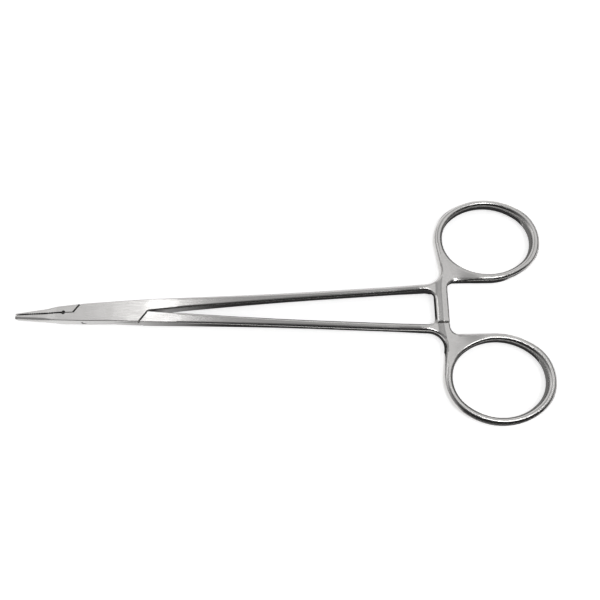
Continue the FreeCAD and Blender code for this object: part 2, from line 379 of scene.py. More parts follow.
def brushed_steel(name, finish, tone=1.0):
    """Satin stainless steel: fine strokes along X, clouding, lighter worn edges and painted shade in
    recesses.
    """
    material = bpy.data.materials.new(name)
    wires = empty_wiring(material)
    place = wires.add("ShaderNodeTexCoord").outputs["Object"]
    across = 1.0 / finish.grain_width
    stretched = wires.add(
        "ShaderNodeMapping",
        {"Vector": place, "Scale": (1.0 / finish.grain_length, across, across)},
    )
    strokes = wires.add(
        "ShaderNodeTexNoise",
        {"Vector": stretched.outputs["Vector"], "Scale": 1.0, "Detail": 4.0, "Roughness": 0.6},
    )
    clouds = wires.add("ShaderNodeTexNoise", {"Vector": place, "Scale": 140.0, "Detail": 3.0})
    stroke_weight, cloud_weight = 0.55, 0.45
    cloud_part = wires.maths("MULTIPLY", clouds.outputs["Fac"], cloud_weight)
    grain = wires.maths("MULTIPLY_ADD", strokes.outputs["Fac"], stroke_weight, cloud_part)

    # The colour: lighter where the strokes are fresh and at handled edges, with painted shade in slits, holes
    # and grooves.
    low, high = 0.30, 0.70
    fresh = wires.add("ShaderNodeMapRange", {"Value": grain, "From Min": low, "From Max": high})
    edge = wires.add("ShaderNodeAttribute", attribute_name="edge_distance")
    worn = wires.add(
        "ShaderNodeMapRange",
        {"Value": edge.outputs["Fac"], "From Max": finish.wear_reach, "To Min": 0.6, "To Max": 0.0},
    )
    lighter = wires.add(
        "ShaderNodeMath",
        {0: fresh.outputs["Result"], 1: worn.outputs["Result"]},
        operation="ADD",
        use_clamp=True,
    )
    dark = [tone * value for value in finish.dark_steel] + [1.0]
    light = [tone * value for value in finish.light_steel] + [1.0]
    colour = wires.add("ShaderNodeMix", {0: lighter.outputs[0], 6: dark, 7: light}, data_type="RGBA")
    # Painted shade: the colour is darkened where the stored share of blocked outlook is high.
    hidden = wires.add("ShaderNodeAttribute", attribute_name="hidden_share")
    painted_shade = wires.add(
        "ShaderNodeMapRange",
        {
            "Value": hidden.outputs["Fac"],
            "From Min": 0.45,
            "From Max": 0.90,
            "To Min": 1.0,
            "To Max": finish.painted_shade_tone,
        },
    )
    shaded_colour = wires.add(
        "ShaderNodeMix",
        {0: 1.0, 6: colour.outputs[2], 7: painted_shade.outputs["Result"]},
        data_type="RGBA",
        blend_type="MULTIPLY",
    )

    # The polish, which the strokes and clouds make uneven too.
    gloss = wires.add(
        "ShaderNodeMapRange",
        {
            "Value": grain,
            "From Min": low,
            "From Max": high,
            "To Min": finish.roughness + 0.06,
            "To Max": finish.roughness - 0.05,
        },
    )
    bump = wires.add("ShaderNodeBump", {"Strength": 1.0, "Distance": finish.grain_depth, "Height": grain})
    shader = wires.add(
        "ShaderNodeBsdfPrincipled",
        {
            "Metallic": 1.0,
            "Base Color": shaded_colour.outputs[2],
            "Roughness": gloss.outputs["Result"],
            "Normal": bump.outputs["Normal"],
        },
    )
    wires.add("ShaderNodeOutputMaterial", {"Surface": shader.outputs["BSDF"]})
    return material


def merged_copy(node_name, piece_name):
    """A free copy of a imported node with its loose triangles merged."""
    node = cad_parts[node_name]
    mesh = node.data.copy()
    mesh.materials.clear()
    piece = bpy.data.objects.new(piece_name, mesh)
    bpy.context.scene.collection.objects.link(piece)
    shape = bmesh.new()
    shape.from_mesh(mesh)
    bmesh.ops.remove_doubles(shape, verts=shape.verts, dist=1e-7)
    bmesh.ops.dissolve_degenerate(shape, edges=shape.edges, dist=1e-8)
    shape.to_mesh(mesh)
    shape.free()
    return piece


def shade_by_angle(piece, angle):
    """Smooth shading with sharp edges past an angle, and flat faces kept flat."""
    mesh = piece.data
    shape = bmesh.new()
    shape.from_mesh(mesh)
    for face in shape.faces:
        face.smooth = True
    for edge in shape.edges:
        edge.smooth = edge.is_manifold and edge.calc_face_angle(0.0) < angle
    shape.to_mesh(mesh)
    shape.free()
    weighted = piece.modifiers.new("even_normals", "WEIGHTED_NORMAL")
    weighted.keep_sharp = True
    weighted.mode = "FACE_AREA_WITH_ANGLE"


def ease(share):
    """Smooth step between 0 and 1, for numbers and arrays."""
    share = np.clip(share, 0.0, 1.0)
    return share * share * (3 - 2 * share)


def arc_points(centre, radius, start, end, spacing):
    """Points along an arc in plan, with close enough angles on small arcs too."""
    turn = abs(end - start)
    widest_angle = 0.12
    count = max(4, int(turn * radius / spacing), int(turn / widest_angle))
    angles = np.linspace(start, end, count + 1)
    return [(centre[0] + radius * math.cos(t), centre[1] + radius * math.sin(t)) for t in angles]


def line_points(start, end, spacing):
    """Points along a straight line in plan, both ends included."""
    count = max(1, int(math.dist(start, end) / spacing))
    first = np.array(start)
    run = np.array(end) - first
    return [tuple(first + run * step / count) for step in range(count + 1)]


def oval(half_length, half_width, end_radius):
    """Side radius, centre offsets and joint angle of a four-centre oval."""
    side_radius = half_length**2 + half_width**2 - 2 * half_length * end_radius
    side_radius = side_radius / (2 * (half_width - end_radius))
    offset_x = half_length - end_radius
    offset_y = side_radius - half_width
    return side_radius, offset_x, offset_y, math.atan2(offset_y, offset_x)


def blend(before, corner, after, radius, spacing):
    """Points of the arc that rounds a plan corner."""
    before, corner, after = (np.array(point, float) for point in (before, corner, after))
    to_before = (before - corner) / np.linalg.norm(before - corner)
    to_after = (after - corner) / np.linalg.norm(after - corner)
    half = math.acos(float(np.dot(to_before, to_after))) / 2
    bisector = (to_before + to_after) / np.linalg.norm(to_before + to_after)
    centre = corner + bisector * radius / math.sin(half)
    start = corner + to_before * radius / math.tan(half) - centre
    end = corner + to_after * radius / math.tan(half) - centre
    start_angle = math.atan2(start[1], start[0])
    turn = math.atan2(start[0] * end[1] - start[1] * end[0], float(np.dot(start, end)))
    return arc_points(centre, radius, start_angle, start_angle + turn, spacing)


def shank_sizes(shape, x):
    """Width, thickness and edge radius of the shank at distances from the pivot."""
    near = np.linspace(0, 1, 6)
    root_radius, edge_radius = 0.30 * MM, 1.0 * MM
    stations = list(shape.shank_root + (shape.shank_waist - shape.shank_root) * near)
    widths = list(shape.root_width + (shape.waist_width - shape.root_width) * (1 - (1 - near) ** 2))
    depths = list(shape.root_thickness + (shape.waist_thickness - shape.root_thickness) * ease(near))
    radii = list(root_radius + (edge_radius - root_radius) * near)
    far = near[1:]
    stations += list(shape.shank_waist + (shape.shank_end - shape.shank_waist) * far)
    widths += list(shape.waist_width + (shape.end_width - shape.waist_width) * far**2)
    depths += list(shape.waist_thickness + (shape.ring_thickness - shape.waist_thickness) * far**8)
    radii += [edge_radius] * len(far)
    return np.interp(x, stations, widths), np.interp(x, stations, depths), np.interp(x, stations, radii)


def plan_outline(shape, spacing):
    """Closed plan outlines of the +Y forging past the box, and of its ring's opening."""
    slope = (shape.end_spread - shape.root_spread) / (shape.shank_end - shape.shank_root)
    across = np.array((-slope, 1.0)) / math.hypot(slope, 1.0)
    stations = np.arange(shape.head_end - 3 * MM, shape.shank_end, 2 * spacing)
    stations = np.append(stations, shape.shank_end)
    widths = shank_sizes(shape, stations)[0]
    middles = np.stack([stations, shape.root_spread + slope * (stations - shape.shank_root)], 1)
    outer_edge = middles + across * widths[:, None] / 2
    inner_edge = middles - across * widths[:, None] / 2
    outer_start, inner_start = outer_edge[-1], inner_edge[-1]

    centre = np.array(shape.ring_centre)
    half_length = shape.opening_length / 2 + shape.side_band
    half_width = shape.opening_width / 2 + shape.end_band
    end_radius = 12.0 * MM
    side_radius, offset_x, offset_y, joint = oval(half_length, half_width, end_radius)
    tangent = math.radians(188)
    left = centre - (offset_x, 0)
    touch = left + end_radius * np.array((math.cos(tangent), math.sin(tangent)))
    along = np.array((-math.sin(tangent), math.cos(tangent)))
    gap = outer_start[1] + slope * (touch[0] - outer_start[0]) - touch[1]
    outer_corner = touch + along * gap / (along[1] - slope * along[0])

    bottom = centre - (0, half_width)
    arm_right = shape.arm_centre + shape.arm_width / 2
    arm_left = shape.arm_centre - shape.arm_width / 2
    end_right, end_left = (arm_right, -shape.arm_reach), (arm_left, -shape.arm_reach)
    left_corner = (arm_left, inner_start[1] + slope * (arm_left - inner_start[0]))
    outer_blend, web_blend, shank_blend = 4.5 * MM, 2.4 * MM, 2.6 * MM
    pieces = [
        [tuple(point) for point in outer_edge],
        blend(outer_start, outer_corner, touch, outer_blend, spacing),
        arc_points(left, end_radius, tangent, math.pi - joint, spacing),
        arc_points(centre - (0, offset_y), side_radius, math.pi - joint, joint, spacing),
        arc_points(centre + (offset_x, 0), end_radius, joint, -joint, spacing),
        arc_points(centre + (0, offset_y), side_radius, -joint, -math.pi / 2, spacing),
        blend(bottom, (arm_right, bottom[1]), end_right, web_blend, spacing),
        line_points(end_right, end_left, spacing),
        blend(end_left, left_corner, inner_start, shank_blend, spacing),
        [tuple(point) for point in inner_edge[::-1]],
    ]
    outline = []
    for piece in pieces:
        if outline:
            outline += line_points(outline[-1], piece[0], spacing)[1:]
        outline += piece[1:] if outline else piece

    end_radius = 9.6 * MM
    sizes = oval(shape.opening_length / 2, shape.opening_width / 2, end_radius)
    side_radius, offset_x, offset_y, joint = sizes
    arcs = (
        (centre + (offset_x, 0), end_radius, -joint, joint),
        (centre - (0, offset_y), side_radius, joint, math.pi - joint),
        (centre - (offset_x, 0), end_radius, math.pi - joint, math.pi + joint),
        (centre + (0, offset_y), side_radius, math.pi + joint, 2 * math.pi - joint),
    )
    opening = arc_points(*arcs[0], spacing)
    for arc in arcs[1:]:
        opening += arc_points(*arc, spacing)[1:]
    return without_repeats(outline), without_repeats(opening[:-1])


def without_repeats(points):
    """The closed outline without points that lie on the one before."""
    same_place = 0.01 * MM
    kept = []
    for point in points:
        if not kept or math.dist(point, kept[-1]) > same_place:
            kept.append(point)
    if math.dist(kept[0], kept[-1]) < same_place:
        kept.pop()
    return np.array(kept)


def inside(points, outline):
    """Which plan points lie inside a closed outline."""
    x, y = points[:, 0], points[:, 1]
    result = np.zeros(len(points), bool)
    x0, y0 = outline[:, 0], outline[:, 1]
    x1, y1 = np.roll(x0, -1), np.roll(y0, -1)
    for ax, ay, bx, by in zip(x0, y0, x1, y1):
        crosses = (ay > y) != (by > y)
        if ay != by:
            result ^= crosses & (x < (bx - ax) * (y - ay) / (by - ay) + ax)
    return result


def on_forging(points, outline, opening):
    """Which plan points lie inside the outline and outside the ring's opening."""
    return inside(points, outline) & ~inside(points, opening)


def distance_to(points, outline):
    """Distance of plan points from a closed outline."""
    run = np.roll(outline, -1, 0) - outline
    best = np.full(len(points), np.inf)
    for (sx, sy), (rx, ry) in zip(outline, run):
        share = ((points[:, 0] - sx) * rx + (points[:, 1] - sy) * ry) / (rx * rx + ry * ry)
        share = np.clip(share, 0, 1)
        best = np.minimum(best, np.hypot(points[:, 0] - sx - share * rx, points[:, 1] - sy - share * ry))
    return best


def ridge_and_crease(y):
    """How far from the pivot the ridge of arm and ring lies, and the crease where the web begins."""
    ridge_y = np.array((-5, 5, 7.5, 11, 16.3, 20.4)) * MM
    ridge_x = np.array((98.65, 98.75, 99.0, 99.4, 99.2, 98.85)) * MM
    crease_y = np.array((7.0, 9.25, 14.3, 17.1)) * MM
    crease_x = np.array((104.0, 102.4, 100.7, 100.0)) * MM
    return np.interp(y, ridge_y, ridge_x), np.interp(y, crease_y, crease_x)


def beside_ridge(shape, x, y):
    """Distance from the ridge down its facets, held past the crease and fading into shank and ring."""
    ridge, crease = ridge_and_crease(y)
    half = shape.arm_width / 2
    from_shank = ease((x - 93.5 * MM) / (4 * MM))
    into_web = ease((x - 103 * MM) / (9 * MM))
    into_ring = ease((y - 15 * MM) / (5 * MM))
    left = np.minimum(ridge - x, half) * from_shank
    right = np.minimum(x - ridge, np.maximum(crease - ridge, 0)) * (1 - into_web)
    return np.where(x < ridge, np.maximum(left, 0), np.maximum(right, 0)) * (1 - into_ring)


def interior_points(shape, outline, opening):
    """Plan points inside the forging: its ridge and crease, rows beside its edges and a plain grid."""
    grid_step, ridge_step, closest = 0.5 * MM, 0.3 * MM, 0.12 * MM
    spread = []
    for loop, inward in ((outline, 1), (opening, -1)):
        run = np.roll(loop, -1, 0) - np.roll(loop, 1, 0)
        run /= np.linalg.norm(run, axis=1)[:, None]
        area = np.sum(loop[:, 0] * np.roll(loop[:, 1], -1) - np.roll(loop[:, 0], -1) * loop[:, 1])
        normal = np.stack([-run[:, 1], run[:, 0]], 1) * np.sign(area) * inward
        for row in (0.05, 0.2, 0.42, 0.7, 1.0, 1.25):
            spread.append((loop + normal * row * MM, row * MM))
    low, high = outline.min(0), outline.max(0)
    grid_x = np.arange(low[0], high[0], grid_step)
    grid_y = np.arange(low[1], high[1], grid_step)
    grid = np.stack(np.meshgrid(grid_x, grid_y), -1)
    spread.append((grid.reshape(-1, 2), 1.45 * MM))

    y = np.arange(-shape.arm_reach + 0.6 * MM, 17 * MM, ridge_step)
    ridge, crease = ridge_and_crease(y)
    kept = [np.stack([ridge, y], 1), np.stack([crease, y], 1)[y > 8.5 * MM]]
    guides = np.concatenate(kept)
    for points, needed in spread:
        points = points[on_forging(points, outline, opening)]
        clear = np.minimum(distance_to(points, outline), distance_to(points, opening))
        points = points[clear > needed - 0.02 * MM]
        near = np.min(np.hypot(*(points[:, None, :] - guides[None]).transpose(2, 0, 1)), axis=1)
        kept.append(points[near > closest])
    interior = thinned(np.concatenate(kept), closest)
    return interior[on_forging(interior, outline, opening)]


def plan_mesh(shape, name):
    """Flat plan of the forging as triangles, with its section sizes on each point."""
    outline, opening = plan_outline(shape, 0.4 * MM)
    coords, edges = [], []
    for loop in (outline, opening):
        first = len(coords)
        coords += [Vector(point) for point in loop]
        edges += [(first + i, first + (i + 1) % len(loop)) for i in range(len(loop))]
    coords += [Vector(point) for point in interior_points(shape, outline, opening)]
    scaled = [point / MM for point in coords]
    points, _, faces, _, _, _ = geometry.delaunay_2d_cdt(scaled, edges, [], 0, 1e-5)
    points = np.array([tuple(point) for point in points]) * MM
    centres = np.array([points[list(face)].mean(0) for face in faces])
    keep = on_forging(centres, outline, opening)
    faces = [tuple(face) for face, wanted in zip(faces, keep) if wanted]
    mesh = bpy.data.meshes.new(name)
    mesh.from_pydata([(x, y, 0.0) for x, y in points], [], faces)
    set_sections(shape, mesh, points)
    return mesh


def thinned(points, gap):
    """The points with near repeats left out."""
    taken = {}
    for point in points:
        cell = (round(point[0] / gap), round(point[1] / gap))
        taken.setdefault(cell, point)
    return np.array(list(taken.values()))


def set_sections(shape, mesh, points):
    """Stores thickness, edge rounding and distance beside the ridge on every point of the plan."""
    x, y = points[:, 0], points[:, 1]
    _, thickness, radius = shank_sizes(shape, x)
    beyond_shank = ease((x - 93.5 * MM) / (3.5 * MM))
    on_ring = ease((y - 6 * MM) / (5 * MM))
    arm_edge = 0.55 * MM
    reach = arm_edge + on_ring * 0.55 * MM
    depth = arm_edge + on_ring * 1.05 * MM
    sections = {
        "half_thickness": thickness / 2,
        "edge_reach": radius + (reach - radius) * beyond_shank,
        "edge_depth": radius + (depth - radius) * beyond_shank,
        "beside_ridge": beside_ridge(shape, x, y),
    }
    for name, values in sections.items():
        attribute = mesh.attributes.new(name, "FLOAT", "POINT")
        attribute.data.foreach_set("value", values.astype(np.float32))


def forging_tree():
    """Raises a flat plan to a forging: thickness and rounding follow from the distance to the edge."""
    tree = bpy.data.node_groups.new("forging_from_plan", "GeometryNodeTree")
    sockets = (
        ("Middle Height", "NodeSocketFloat"),
        ("Ridge Slope", "NodeSocketFloat"),
        ("Turned Over", "NodeSocketBool"),
        ("Arm Centre", "NodeSocketFloat"),
        ("Clear Reach", "NodeSocketFloat"),
        ("Tooth Count", "NodeSocketInt"),
        ("Tooth Pitch", "NodeSocketFloat"),
        ("Tooth Depth", "NodeSocketFloat"),
        ("Steel", "NodeSocketMaterial"),
    )
    tree.interface.new_socket("Geometry", in_out="INPUT", socket_type="NodeSocketGeometry")
    for name, kind in sockets:
        tree.interface.new_socket(name, in_out="INPUT", socket_type=kind)
    tree.interface.new_socket("Geometry", in_out="OUTPUT", socket_type="NodeSocketGeometry")
    wires = Wiring(tree)
    given = wires.add("NodeGroupInput").outputs

    neighbours = wires.add("GeometryNodeInputMeshEdgeNeighbors").outputs["Face Count"]
    at_edge = wires.maths("LESS_THAN", neighbours, 1.5)
    rim = wires.add("GeometryNodeMeshToCurve", {"Mesh": given["Geometry"], "Selection": at_edge})
    rim = wires.add("GeometryNodeCurveToMesh", {"Curve": rim.outputs["Curve"]})
    near = wires.add("GeometryNodeProximity", {0: rim.outputs["Mesh"]}, target_element="EDGES")
    stored = wires.add(
        "GeometryNodeStoreNamedAttribute",
        {"Geometry": given["Geometry"], "Name": "edge_distance", "Value": near.outputs["Distance"]},
        data_type="FLOAT",
        domain="POINT",
    ).outputs["Geometry"]

    # A thin slab, whose upper and lower points then move to their heights.
    sheet = 0.1 * MM
    raised = wires.add(
        "GeometryNodeExtrudeMesh",
        {"Mesh": stored, "Offset": (0.0, 0.0, 1.0), "Offset Scale": sheet, "Individual": False},
        mode="FACES",
    )
    under = wires.add("GeometryNodeFlipFaces", {"Mesh": stored})
    slab = wires.add("GeometryNodeJoinGeometry")
    wires.tree.links.new(raised.outputs["Mesh"], slab.inputs[0])
    wires.tree.links.new(under.outputs["Mesh"], slab.inputs[0])
    closed = wires.add("GeometryNodeMergeByDistance", {"Geometry": slab.outputs[0], "Distance": 0.001 * MM})

    # The heights: a rounded edge all round, and facets that fall away beside the ridge.
    reach = wires.attribute("edge_reach")
    depth = wires.attribute("edge_depth")
    distance = wires.attribute("edge_distance")
    short = wires.maths("SUBTRACT", 1.0, wires.maths("DIVIDE", distance, reach))
    short = wires.maths("MAXIMUM", short, 0.0)
    crown = wires.maths("SQRT", wires.maths("SUBTRACT", 1.0, wires.maths("MULTIPLY", short, short)))
    lost = wires.maths("MULTIPLY", depth, wires.maths("SUBTRACT", 1.0, crown))
    facet = wires.maths("MULTIPLY", wires.attribute("beside_ridge"), given["Ridge Slope"])
    faded = wires.maths("MULTIPLY", facet, crown)
    height = wires.maths("SUBTRACT", wires.attribute("half_thickness"), lost)
    height = wires.maths("MAXIMUM", wires.maths("SUBTRACT", height, faded), 0.02 * MM)
    place = wires.add("GeometryNodeInputPosition").outputs["Position"]
    parts = wires.add("ShaderNodeSeparateXYZ", {"Vector": place}).outputs
    upper = wires.maths("GREATER_THAN", parts["Z"], sheet / 2)
    sign = wires.maths("MULTIPLY_ADD", upper, 2.0, -1.0)
    level = wires.maths("MULTIPLY_ADD", height, sign, given["Middle Height"])
    moved = {"Geometry": closed.outputs["Geometry"], "Position": wires.vector(parts["X"], parts["Y"], level)}
    solid = wires.add("GeometryNodeSetPosition", moved)

    # The space for the other half's arm, with one wedge for each ratchet tooth on its roof.
    half_gap = 0.05 * MM
    crest = wires.maths("ADD", given["Middle Height"], half_gap)
    length = 12.0 * MM
    box_height = 6.0 * MM
    box_reach = wires.maths("ADD", given["Clear Reach"], 6.0 * MM)
    box = wires.add("GeometryNodeMeshCube", {"Size": wires.vector(length, box_reach, box_height)})
    box_y = wires.maths("SUBTRACT", given["Clear Reach"], wires.maths("MULTIPLY", box_reach, 0.5))
    box_z = wires.maths("SUBTRACT", crest, box_height / 2)
    box_place = wires.vector(given["Arm Centre"], box_y, box_z)
    space = wires.add("GeometryNodeTransform", {"Geometry": box.outputs["Mesh"], "Translation": box_place})
    root = 0.2 * MM
    wedge_height = wires.maths("ADD", given["Tooth Depth"], root)
    wedge_size = wires.vector(length, given["Tooth Pitch"], wedge_height)
    wedge = wires.add("GeometryNodeMeshCube", {"Size": wedge_size})
    at_back = wires.maths("GREATER_THAN", parts["Y"], 0.0)
    at_top = wires.maths("GREATER_THAN", parts["Z"], 0.0)
    drop = wires.maths("MULTIPLY", given["Tooth Depth"], -0.98)
    fall = wires.maths("MULTIPLY", wires.maths("MULTIPLY", at_back, at_top), drop)
    slanted = {"Geometry": wedge.outputs["Mesh"], "Offset": wires.vector(z=fall)}
    wedge = wires.add("GeometryNodeSetPosition", slanted)
    rack_length = wires.maths("MULTIPLY", given["Tooth Count"], given["Tooth Pitch"])
    first_y = wires.maths("MULTIPLY", rack_length, -0.5)
    first_y = wires.maths("ADD", first_y, wires.maths("MULTIPLY", given["Tooth Pitch"], 0.5))
    wedge_z = wires.maths("MULTIPLY_ADD", wires.maths("SUBTRACT", given["Tooth Depth"], root), 0.5, crest)
    row = wires.add(
        "GeometryNodeMeshLine",
        {
            "Count": given["Tooth Count"],
            "Start Location": wires.vector(given["Arm Centre"], first_y, wedge_z),
            "Offset": wires.vector(y=given["Tooth Pitch"]),
        },
    )
    rack = {"Points": row.outputs["Mesh"], "Instance": wedge.outputs["Geometry"]}
    teeth = wires.add("GeometryNodeInstanceOnPoints", rack)
    teeth = wires.add("GeometryNodeRealizeInstances", {"Geometry": teeth.outputs["Instances"]})
    cut = wires.add(
        "GeometryNodeMeshBoolean",
        {"Mesh 1": solid.outputs["Geometry"]},
        operation="DIFFERENCE",
        solver="EXACT",
    )
    wires.tree.links.new(space.outputs["Geometry"], cut.inputs["Mesh 2"])
    wires.tree.links.new(teeth.outputs["Geometry"], cut.inputs["Mesh 2"])

    # The other half is the same forging turned over about the X axis at mid height.
    lift = wires.vector(z=wires.maths("MULTIPLY", given["Middle Height"], 2.0))
    over = wires.add(
        "GeometryNodeTransform",
        {"Geometry": cut.outputs["Mesh"], "Translation": lift, "Rotation": (math.pi, 0.0, 0.0)},
    )
    chosen = wires.add(
        "GeometryNodeSwitch",
        {"Switch": given["Turned Over"], "False": cut.outputs["Mesh"], "True": over.outputs["Geometry"]},
        input_type="GEOMETRY",
    )
    real = wires.add("GeometryNodeRealizeInstances", {"Geometry": chosen.outputs["Output"]})
    covered = {"Geometry": real.outputs["Geometry"], "Material": given["Steel"]}
    done = wires.add("GeometryNodeSetMaterial", covered)
    wires.add("NodeGroupOutput", {"Geometry": done.outputs["Geometry"]})
    return tree


def shaped_forging(shape, tree, plan, turned_over, steel, name):
    """Shank, ring and arm of one half as a plain mesh."""
    draft = bpy.data.objects.new(name, plan)
    bpy.context.scene.collection.objects.link(draft)
    modifier = draft.modifiers.new("forging", "NODES")
    modifier.node_group = tree
    values = {
        "Middle Height": MID_HEIGHT,
        "Ridge Slope": shape.ridge_slope,
        "Turned Over": turned_over,
        "Arm Centre": shape.arm_centre,
        "Clear Reach": shape.arm_reach + 0.25 * MM,
        "Tooth Count": shape.tooth_count,
        "Tooth Pitch": shape.tooth_pitch,
        "Tooth Depth": shape.tooth_depth,
        "Steel": steel,
    }
    for item in tree.interface.items_tree:
        if item.in_out == "INPUT" and item.name in values:
            modifier[item.identifier] = values[item.name]
    draft.update_tag()
    settled = draft.evaluated_get(bpy.context.evaluated_depsgraph_get())
    mesh = bpy.data.meshes.new_from_object(settled)
    bpy.data.objects.remove(draft)
    mesh.name = name
    return mesh


def cut_off(mesh, x, keep_left):
    """Cuts a mesh square across at a distance from the pivot and closes the cut."""
    shape = bmesh.new()
    shape.from_mesh(mesh)
    every = list(shape.verts) + list(shape.edges) + list(shape.faces)
    cut = bmesh.ops.bisect_plane(
        shape,
        geom=every,
        plane_co=(x, 0, 0),
        plane_no=(1, 0, 0),
        clear_outer=keep_left,
        clear_inner=not keep_left,
    )
    rim = [item for item in cut["geom_cut"] if isinstance(item, bmesh.types.BMEdge)]
    bmesh.ops.contextual_create(shape, geom=rim)
    bmesh.ops.recalc_face_normals(shape, faces=shape.faces)
    shape.to_mesh(mesh)
    shape.free()


def set_back(mesh, other, gap, hole_start):
    """Sets the walls that face the other half across a narrow gap back by a little."""
    widest_gap = 0.5 * MM
    shape = bmesh.new()
    shape.from_mesh(mesh)
    shape.normal_update()
    moves = {}
    for face in shape.faces:
        start = face.calc_center_median()
        level = Vector((face.normal.x, face.normal.y, 0.0))
        if level.length < 0.6:
            continue
        level.normalize()
        # Past the relief hole only faces that look straight across the parting line are set back.
        if start.x < hole_start and abs(level.y) < 0.85:
            continue
        if other.ray_cast(start, level, widest_gap)[0] is None:
            continue
        for corner in face.verts:
            moves.setdefault(corner, []).append(level)
    for corner, levels in moves.items():
        whole = sum(levels, Vector((0.0, 0.0, 0.0)))
        if whole.length > 0.5:
            corner.co -= whole.normalized() * gap
    shape.to_mesh(mesh)
    shape.free()


def mark_hidden(pieces, lock_start, lock_end):
    """Stores the share of each face's outlook that metal blocks, in the lock's slits by both halves, which
    the steel turns into painted shade.
    """
    reach, lift = 1.6 * MM, 0.01 * MM
    ray_count = 12
    jaw_shade_weight = 0.8
    graph = bpy.context.evaluated_depsgraph_get()
    trees = {piece: BVHTree.FromObject(piece, graph) for piece in pieces}
    turn = math.pi * (3 - math.sqrt(5))
    spread = []
    for step in range(ray_count):
        rise = (step + 0.5) / ray_count
        flat = math.sqrt(1 - rise * rise)
        spread.append(Vector((math.cos(turn * step) * flat, math.sin(turn * step) * flat, rise)))
    for piece in pieces:
        mesh = piece.data
        shares = []
        for face in mesh.polygons:
            toward = face.normal.to_track_quat("Z", "Y")
            start = face.center + face.normal * lift
            in_slit = face.center.x < lock_end and abs(face.normal.z) < 0.5
            near = list(trees.values()) if in_slit else [trees[piece]]
            blocked = 0
            for ray in spread:
                along = toward @ ray
                if any(tree.ray_cast(start, along, reach)[0] is not None for tree in near):
                    blocked += 1
            # The gripping faces of the jaws get less painted shade.
            weight = jaw_shade_weight if face.center.x < lock_start else 1.0
            shares.append(weight * blocked / ray_count)
        share = mesh.attributes.new("hidden_share", "FLOAT", "FACE")
        share.data.foreach_set("value", shares)


class NEEDLEHOLDER_OT_halves(bpy.types.Operator):
    """Makes both halves of brushed steel, each with its jaw, shank, ring and ratchet arm."""

    bl_idname = "needleholder.halves"
    bl_label = "Make Both Halves"

    def execute(self, context):
        finish = context.scene.needleholder_steel
        shape = context.scene.needleholder_shape
        tree = forging_tree()
        beyond_wear = 1.5 * MM
        pieces = []
        graph = context.evaluated_depsgraph_get()
        shapes = {side: BVHTree.FromObject(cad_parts[side], graph) for side in HALVES}
        for side, body, turned_over in (("female_half", "female", False), ("male_half", "male", True)):
            steel = brushed_steel(side + "_brushed_steel", finish)
            piece = merged_copy(side, side + "_steel")
            other = shapes[HALVES[1 - HALVES.index(side)]]
            set_back(piece.data, other, finish.worn_gap, shape.hole_start)
            cut_off(piece.data, shape.head_end, True)
            piece.data.materials.append(steel)
            far = piece.data.attributes.new("edge_distance", "FLOAT", "POINT")
            far.data.foreach_set("value", [beyond_wear] * len(far.data))
            plan = plan_mesh(shape, side + "_plan")
            forging = shaped_forging(shape, tree, plan, turned_over, steel, side + "_forging")
            cut_off(forging, shape.head_end, False)
            joined = bpy.data.objects.new(side + "_outer", forging)
            context.scene.collection.objects.link(joined)
            with context.temp_override(active_object=piece, selected_editable_objects=[piece, joined]):
                bpy.ops.object.join()
            shade_by_angle(piece, math.radians(32))
            pieces.append(piece)
            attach(piece, body)
            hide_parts(side)
        mark_hidden(pieces, shape.hole_start - 1.4 * MM, shape.head_end)
        return {"FINISHED"}


class NEEDLEHOLDER_OT_pivot_pin(bpy.types.Operator):
    """Finishes the flush pin of the box lock."""

    bl_idname = "needleholder.pivot_pin"
    bl_label = "Make Pivot Pin"

    def execute(self, context):
        finish = context.scene.needleholder_steel
        pin_tone = 0.97
        piece = merged_copy("pivot_pin", "pivot_pin_steel")
        far = piece.data.attributes.new("edge_distance", "FLOAT", "POINT")
        far.data.foreach_set("value", [finish.wear_reach] * len(far.data))
        shade_by_angle(piece, math.radians(28))
        piece.data.materials.append(brushed_steel("pivot_pin_brushed_steel", finish, pin_tone))
        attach(piece, "female")
        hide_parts("pivot_pin")
        return {"FINISHED"}


def seen_white(wires, lit, strength):
    """The white that the camera, reflections and glass see, with other rays given by lit."""
    path = wires.add("ShaderNodeLightPath").outputs
    seen = wires.maths("MAXIMUM", path["Is Camera Ray"], path["Is Glossy Ray"])
    seen = wires.maths("MAXIMUM", seen, path["Is Transmission Ray"])
    level = wires.add("ShaderNodeMapRange", {"Value": seen, "To Min": lit, "To Max": strength})
    return level.outputs["Result"]


def flat_piece(name, corners, material_name):
    """A flat piece with four corners, and the wiring of its still empty material."""
    mesh = bpy.data.meshes.new(name)
    mesh.from_pydata(corners, [], [(0, 1, 2, 3)])
    piece = bpy.data.objects.new(name, mesh)
    bpy.context.scene.collection.objects.link(piece)
    material = bpy.data.materials.new(material_name)
    mesh.materials.append(material)
    return piece, empty_wiring(material)


def card(name, corners, greys, span=(-1.0, 1.0)):
    """A studio card that only reflections see, shaded along X between two greys."""
    piece, wires = flat_piece(name, corners, name)
    place = wires.add("ShaderNodeTexCoord").outputs["Object"]
    along = wires.add("ShaderNodeSeparateXYZ", {"Vector": place}).outputs["X"]
    shade = wires.add(
        "ShaderNodeMapRange",
        {"Value": along, "From Min": span[0], "From Max": span[1], "To Min": greys[0], "To Max": greys[1]},
        interpolation_type="SMOOTHSTEP",
    )
    glow = wires.add("ShaderNodeEmission", {"Strength": shade.outputs["Result"]})
    wires.add("ShaderNodeOutputMaterial", {"Surface": glow.outputs["Emission"]})
    piece.visible_camera = False
    piece.visible_diffuse = False
    piece.visible_shadow = False


def area_light(name, place, target, size, power):
    """A soft light of a length and a width that looks at a target."""
    light = bpy.data.lights.new(name, "AREA")
    light.shape = "RECTANGLE"
    light.size, light.size_y = size
    light.energy = power
    lamp = bpy.data.objects.new(name, light)
    lamp.location = place
    lamp.rotation_euler = (Vector(target) - Vector(place)).to_track_quat("-Z", "Y").to_euler()
    bpy.context.scene.collection.objects.link(lamp)
    return lamp


